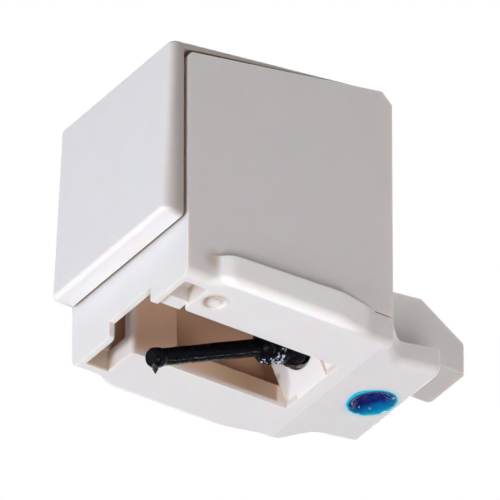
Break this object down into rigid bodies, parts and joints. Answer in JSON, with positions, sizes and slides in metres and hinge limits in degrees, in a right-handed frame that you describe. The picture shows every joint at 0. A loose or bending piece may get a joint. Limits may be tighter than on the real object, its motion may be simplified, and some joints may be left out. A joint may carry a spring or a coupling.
{
  "type": "turntable stylus",
  "caption": "Box-shaped plug-in stylus for a turntable cartridge, with a sprung cantilever and diamond tip in a floor window.",
  "frame": {"origin": "on the plug's centre line, at the rear face that seats on the cartridge", "axes": "+Y along the plug, into the cartridge; +Z away from the record; X across"},
  "size_m": [0.0116, 0.0204, 0.0179],
  "materials": {
    "ivory_moulding": "satin",
    "ivory_cover": "satin",
    "sleeve_metal": "satin",
    "damper_rubber": "gloss",
    "cantilever_black": "satin",
    "magnet_metal": "satin",
    "tip_diamond": "gloss",
    "seal_blue": "gloss"
  },
  "bodies": {
    "holder": {"stylus_body": "ivory_moulding", "front_cover": "ivory_cover", "suspension_sleeve": "sleeve_metal", "colour_seal": "seal_blue"},
    "damper": {"rubber_damper": "damper_rubber"},
    "stylus": {"cantilever": "cantilever_black", "magnet": "magnet_metal", "diamond_tip": "tip_diamond"}
  },
  "joints": [
    {"name": "lateral_swing", "type": "hinge", "parent": "holder", "child": "damper", "pos_m": [0, -0.00265, -0.00219], "axis": [0, -0.4226, 0.9063], "range_deg": [-3, 3], "stiffness_Nm_per_rad": 0.006},
    {"name": "vertical_swing", "type": "hinge", "parent": "damper", "child": "stylus", "pos_m": [0, -0.00265, -0.00219], "axis": [1, 0, 0], "range_deg": [-3, 3], "stiffness_Nm_per_rad": 0.006}
  ]
}
